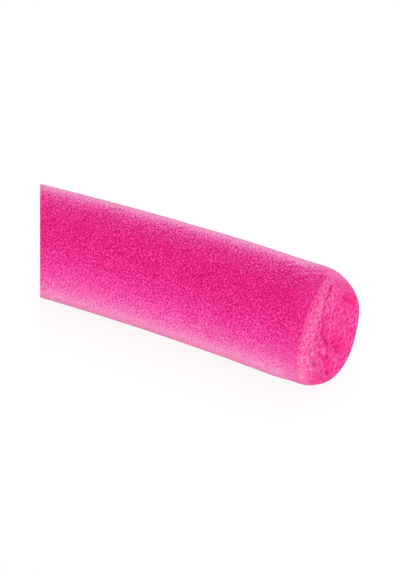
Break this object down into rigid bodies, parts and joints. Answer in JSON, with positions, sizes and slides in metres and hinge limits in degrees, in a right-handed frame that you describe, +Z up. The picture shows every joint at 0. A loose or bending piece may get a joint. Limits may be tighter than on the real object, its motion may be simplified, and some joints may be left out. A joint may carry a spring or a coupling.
{
  "type": "pool noodle",
  "caption": "Solid round foam pool noodle with a grained skin, softly rounded seared ends and a gentle bow; it floats, lies on the floor and bends along its whole length.",
  "frame": {"origin": "on the floor, under the middle of the part's box", "axes": "+X along the noodle's longest extent, towards the front end; +Y out of the bow, so the bow is hollow towards -Y; +Z up from the floor that it lies on"},
  "size_m": [1.1792, 0.1924, 0.0645],
  "materials": {
    "foam_core": "cut closed-cell polyethylene foam",
    "outer_skin": "extruded closed-cell foam skin, finely grained, soft sheen",
    "end_skin": "hot-cut and seared foam skin, drawn into shallow folds"
  },
  "bodies": {
    "section_01": {"foam_core_01": "foam_core", "outer_skin_01": "outer_skin", "end_skin_front": "end_skin"},
    "section_02": {"foam_core_02": "foam_core", "outer_skin_02": "outer_skin"},
    "section_03": {"foam_core_03": "foam_core", "outer_skin_03": "outer_skin"},
    "section_04": {"foam_core_04": "foam_core", "outer_skin_04": "outer_skin"},
    "section_05": {"foam_core_05": "foam_core", "outer_skin_05": "outer_skin"},
    "section_06": {"foam_core_06": "foam_core", "outer_skin_06": "outer_skin"},
    "section_07": {"foam_core_07": "foam_core", "outer_skin_07": "outer_skin"},
    "section_08": {"foam_core_08": "foam_core", "outer_skin_08": "outer_skin"},
    "section_09": {"foam_core_09": "foam_core", "outer_skin_09": "outer_skin"},
    "section_10": {"foam_core_10": "foam_core", "outer_skin_10": "outer_skin"},
    "section_11": {"foam_core_11": "foam_core", "outer_skin_11": "outer_skin"},
    "section_12": {"foam_core_12": "foam_core", "outer_skin_12": "outer_skin"},
    "section_13": {"foam_core_13": "foam_core", "outer_skin_13": "outer_skin", "end_skin_back": "end_skin"}
  },
  "joints": [
    {"name": "bend_06", "type": "hinge", "parent": "section_07", "child": "section_06", "pos_m": [0.04612, 0.06293, 0.032], "axis": [0, 0, -1], "range_deg": [-15, 15], "stiffness_Nm_per_rad": 2.85},
    {"name": "bend_05", "type": "hinge", "parent": "section_06", "child": "section_05", "pos_m": [0.13815, 0.05658, 0.032], "axis": [0, 0, -1], "range_deg": [-15, 15], "stiffness_Nm_per_rad": 2.85},
    {"name": "bend_04", "type": "hinge", "parent": "section_05", "child": "section_04", "pos_m": [0.22953, 0.04392, 0.032], "axis": [0, 0, -1], "range_deg": [-15, 15], "stiffness_Nm_per_rad": 2.85},
    {"name": "bend_03", "type": "hinge", "parent": "section_04", "child": "section_03", "pos_m": [0.31981, 0.025, 0.032], "axis": [0, 0, -1], "range_deg": [-15, 15], "stiffness_Nm_per_rad": 2.85},
    {"name": "bend_02", "type": "hinge", "parent": "section_03", "child": "section_02", "pos_m": [0.40858, -0.00009, 0.032], "axis": [0, 0, -1], "range_deg": [-15, 15], "stiffness_Nm_per_rad": 2.85},
    {"name": "bend_01", "type": "hinge", "parent": "section_02", "child": "section_01", "pos_m": [0.49541, -0.03122, 0.032], "axis": [0, 0, -1], "range_deg": [-15, 15], "stiffness_Nm_per_rad": 2.85},
    {"name": "bend_07", "type": "hinge", "parent": "section_07", "child": "section_08", "pos_m": [-0.04612, 0.06293, 0.032], "axis": [0, 0, 1], "range_deg": [-15, 15], "stiffness_Nm_per_rad": 2.85},
    {"name": "bend_08", "type": "hinge", "parent": "section_08", "child": "section_09", "pos_m": [-0.13815, 0.05658, 0.032], "axis": [0, 0, 1], "range_deg": [-15, 15], "stiffness_Nm_per_rad": 2.85},
    {"name": "bend_09", "type": "hinge", "parent": "section_09", "child": "section_10", "pos_m": [-0.22953, 0.04392, 0.032], "axis": [0, 0, 1], "range_deg": [-15, 15], "stiffness_Nm_per_rad": 2.85},
    {"name": "bend_10", "type": "hinge", "parent": "section_10", "child": "section_11", "pos_m": [-0.31981, 0.025, 0.032], "axis": [0, 0, 1], "range_deg": [-15, 15], "stiffness_Nm_per_rad": 2.85},
    {"name": "bend_11", "type": "hinge", "parent": "section_11", "child": "section_12", "pos_m": [-0.40858, -0.00009, 0.032], "axis": [0, 0, 1], "range_deg": [-15, 15], "stiffness_Nm_per_rad": 2.85},
    {"name": "bend_12", "type": "hinge", "parent": "section_12", "child": "section_13", "pos_m": [-0.49541, -0.03122, 0.032], "axis": [0, 0, 1], "range_deg": [-15, 15], "stiffness_Nm_per_rad": 2.85}
  ],
  "couplings": [
    {"joint": "bend_05", "follows": "bend_06", "ratio": 1},
    {"joint": "bend_04", "follows": "bend_06", "ratio": 1},
    {"joint": "bend_03", "follows": "bend_06", "ratio": 1},
    {"joint": "bend_02", "follows": "bend_06", "ratio": 1},
    {"joint": "bend_01", "follows": "bend_06", "ratio": 1},
    {"joint": "bend_07", "follows": "bend_06", "ratio": 1},
    {"joint": "bend_08", "follows": "bend_06", "ratio": 1},
    {"joint": "bend_09", "follows": "bend_06", "ratio": 1},
    {"joint": "bend_10", "follows": "bend_06", "ratio": 1},
    {"joint": "bend_11", "follows": "bend_06", "ratio": 1},
    {"joint": "bend_12", "follows": "bend_06", "ratio": 1}
  ]
}
